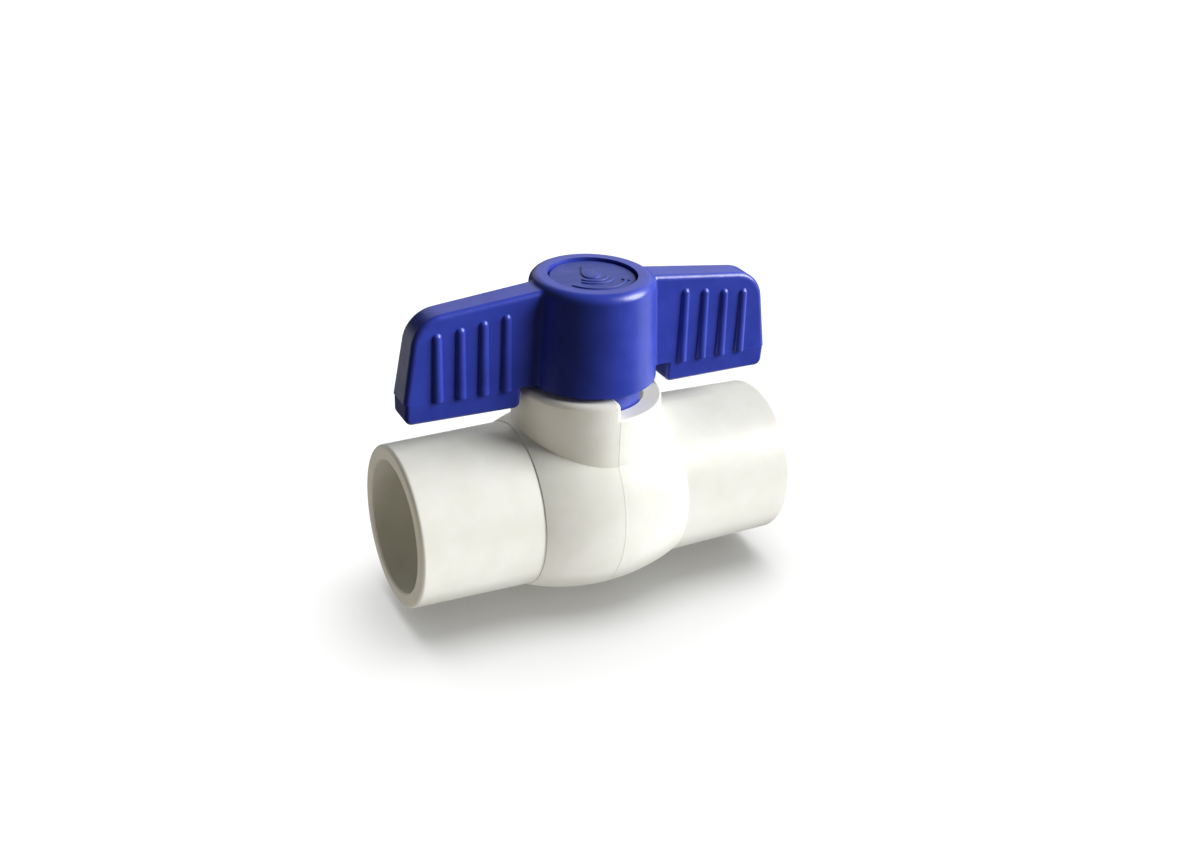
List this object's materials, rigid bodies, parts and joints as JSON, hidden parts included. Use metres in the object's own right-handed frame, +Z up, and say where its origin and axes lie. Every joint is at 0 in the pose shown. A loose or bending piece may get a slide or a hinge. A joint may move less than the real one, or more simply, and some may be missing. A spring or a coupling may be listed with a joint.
{
  "type": "ball valve",
  "caption": "Compact plastic quarter-turn ball valve with plain sockets at both ends and a ribbed butterfly handle.",
  "frame": {"origin": "centre of the ball, where the pipe's axis and the stem's axis cross", "axes": "+X along the pipe towards the right-hand socket, +Z up the stem towards the handle, -Y the face seen from the front"},
  "size_m": [0.1036, 0.0504, 0.0852],
  "materials": {
    "white_pvc": "satin",
    "ball_plastic": "polished",
    "stem_plastic": "satin",
    "seat_ptfe": "waxy",
    "seal_rubber": "matte",
    "blue_plastic": "satin",
    "blue_cap_plastic": "fine matte texture",
    "screw_steel": "plain"
  },
  "bodies": {
    "valve_body": {"housing": "white_pvc", "end_socket_left": "white_pvc", "end_socket_right": "white_pvc", "seat_left": "seat_ptfe", "seat_right": "seat_ptfe", "seat_o_ring_left": "seal_rubber", "seat_o_ring_right": "seal_rubber", "thrust_washer": "seat_ptfe"},
    "handle_body": {"handle": "blue_plastic", "handle_cap": "blue_cap_plastic", "handle_screw": "screw_steel", "screw_washer": "screw_steel", "stem": "stem_plastic", "stem_o_ring_lower": "seal_rubber", "stem_o_ring_upper": "seal_rubber"},
    "ball_body": {"ball": "ball_plastic"}
  },
  "joints": [
    {"name": "handle_turn", "type": "hinge", "parent": "valve_body", "child": "handle_body", "pos_m": [0, 0, 0.034], "axis": [0, 0, 1], "range_deg": [0, 90]},
    {"name": "ball_turn", "type": "hinge", "parent": "valve_body", "child": "ball_body", "pos_m": [0, 0, 0], "axis": [0, 0, 1], "range_deg": [0, 90]}
  ],
  "couplings": [
    {"joint": "ball_turn", "follows": "handle_turn", "ratio": 1}
  ]
}
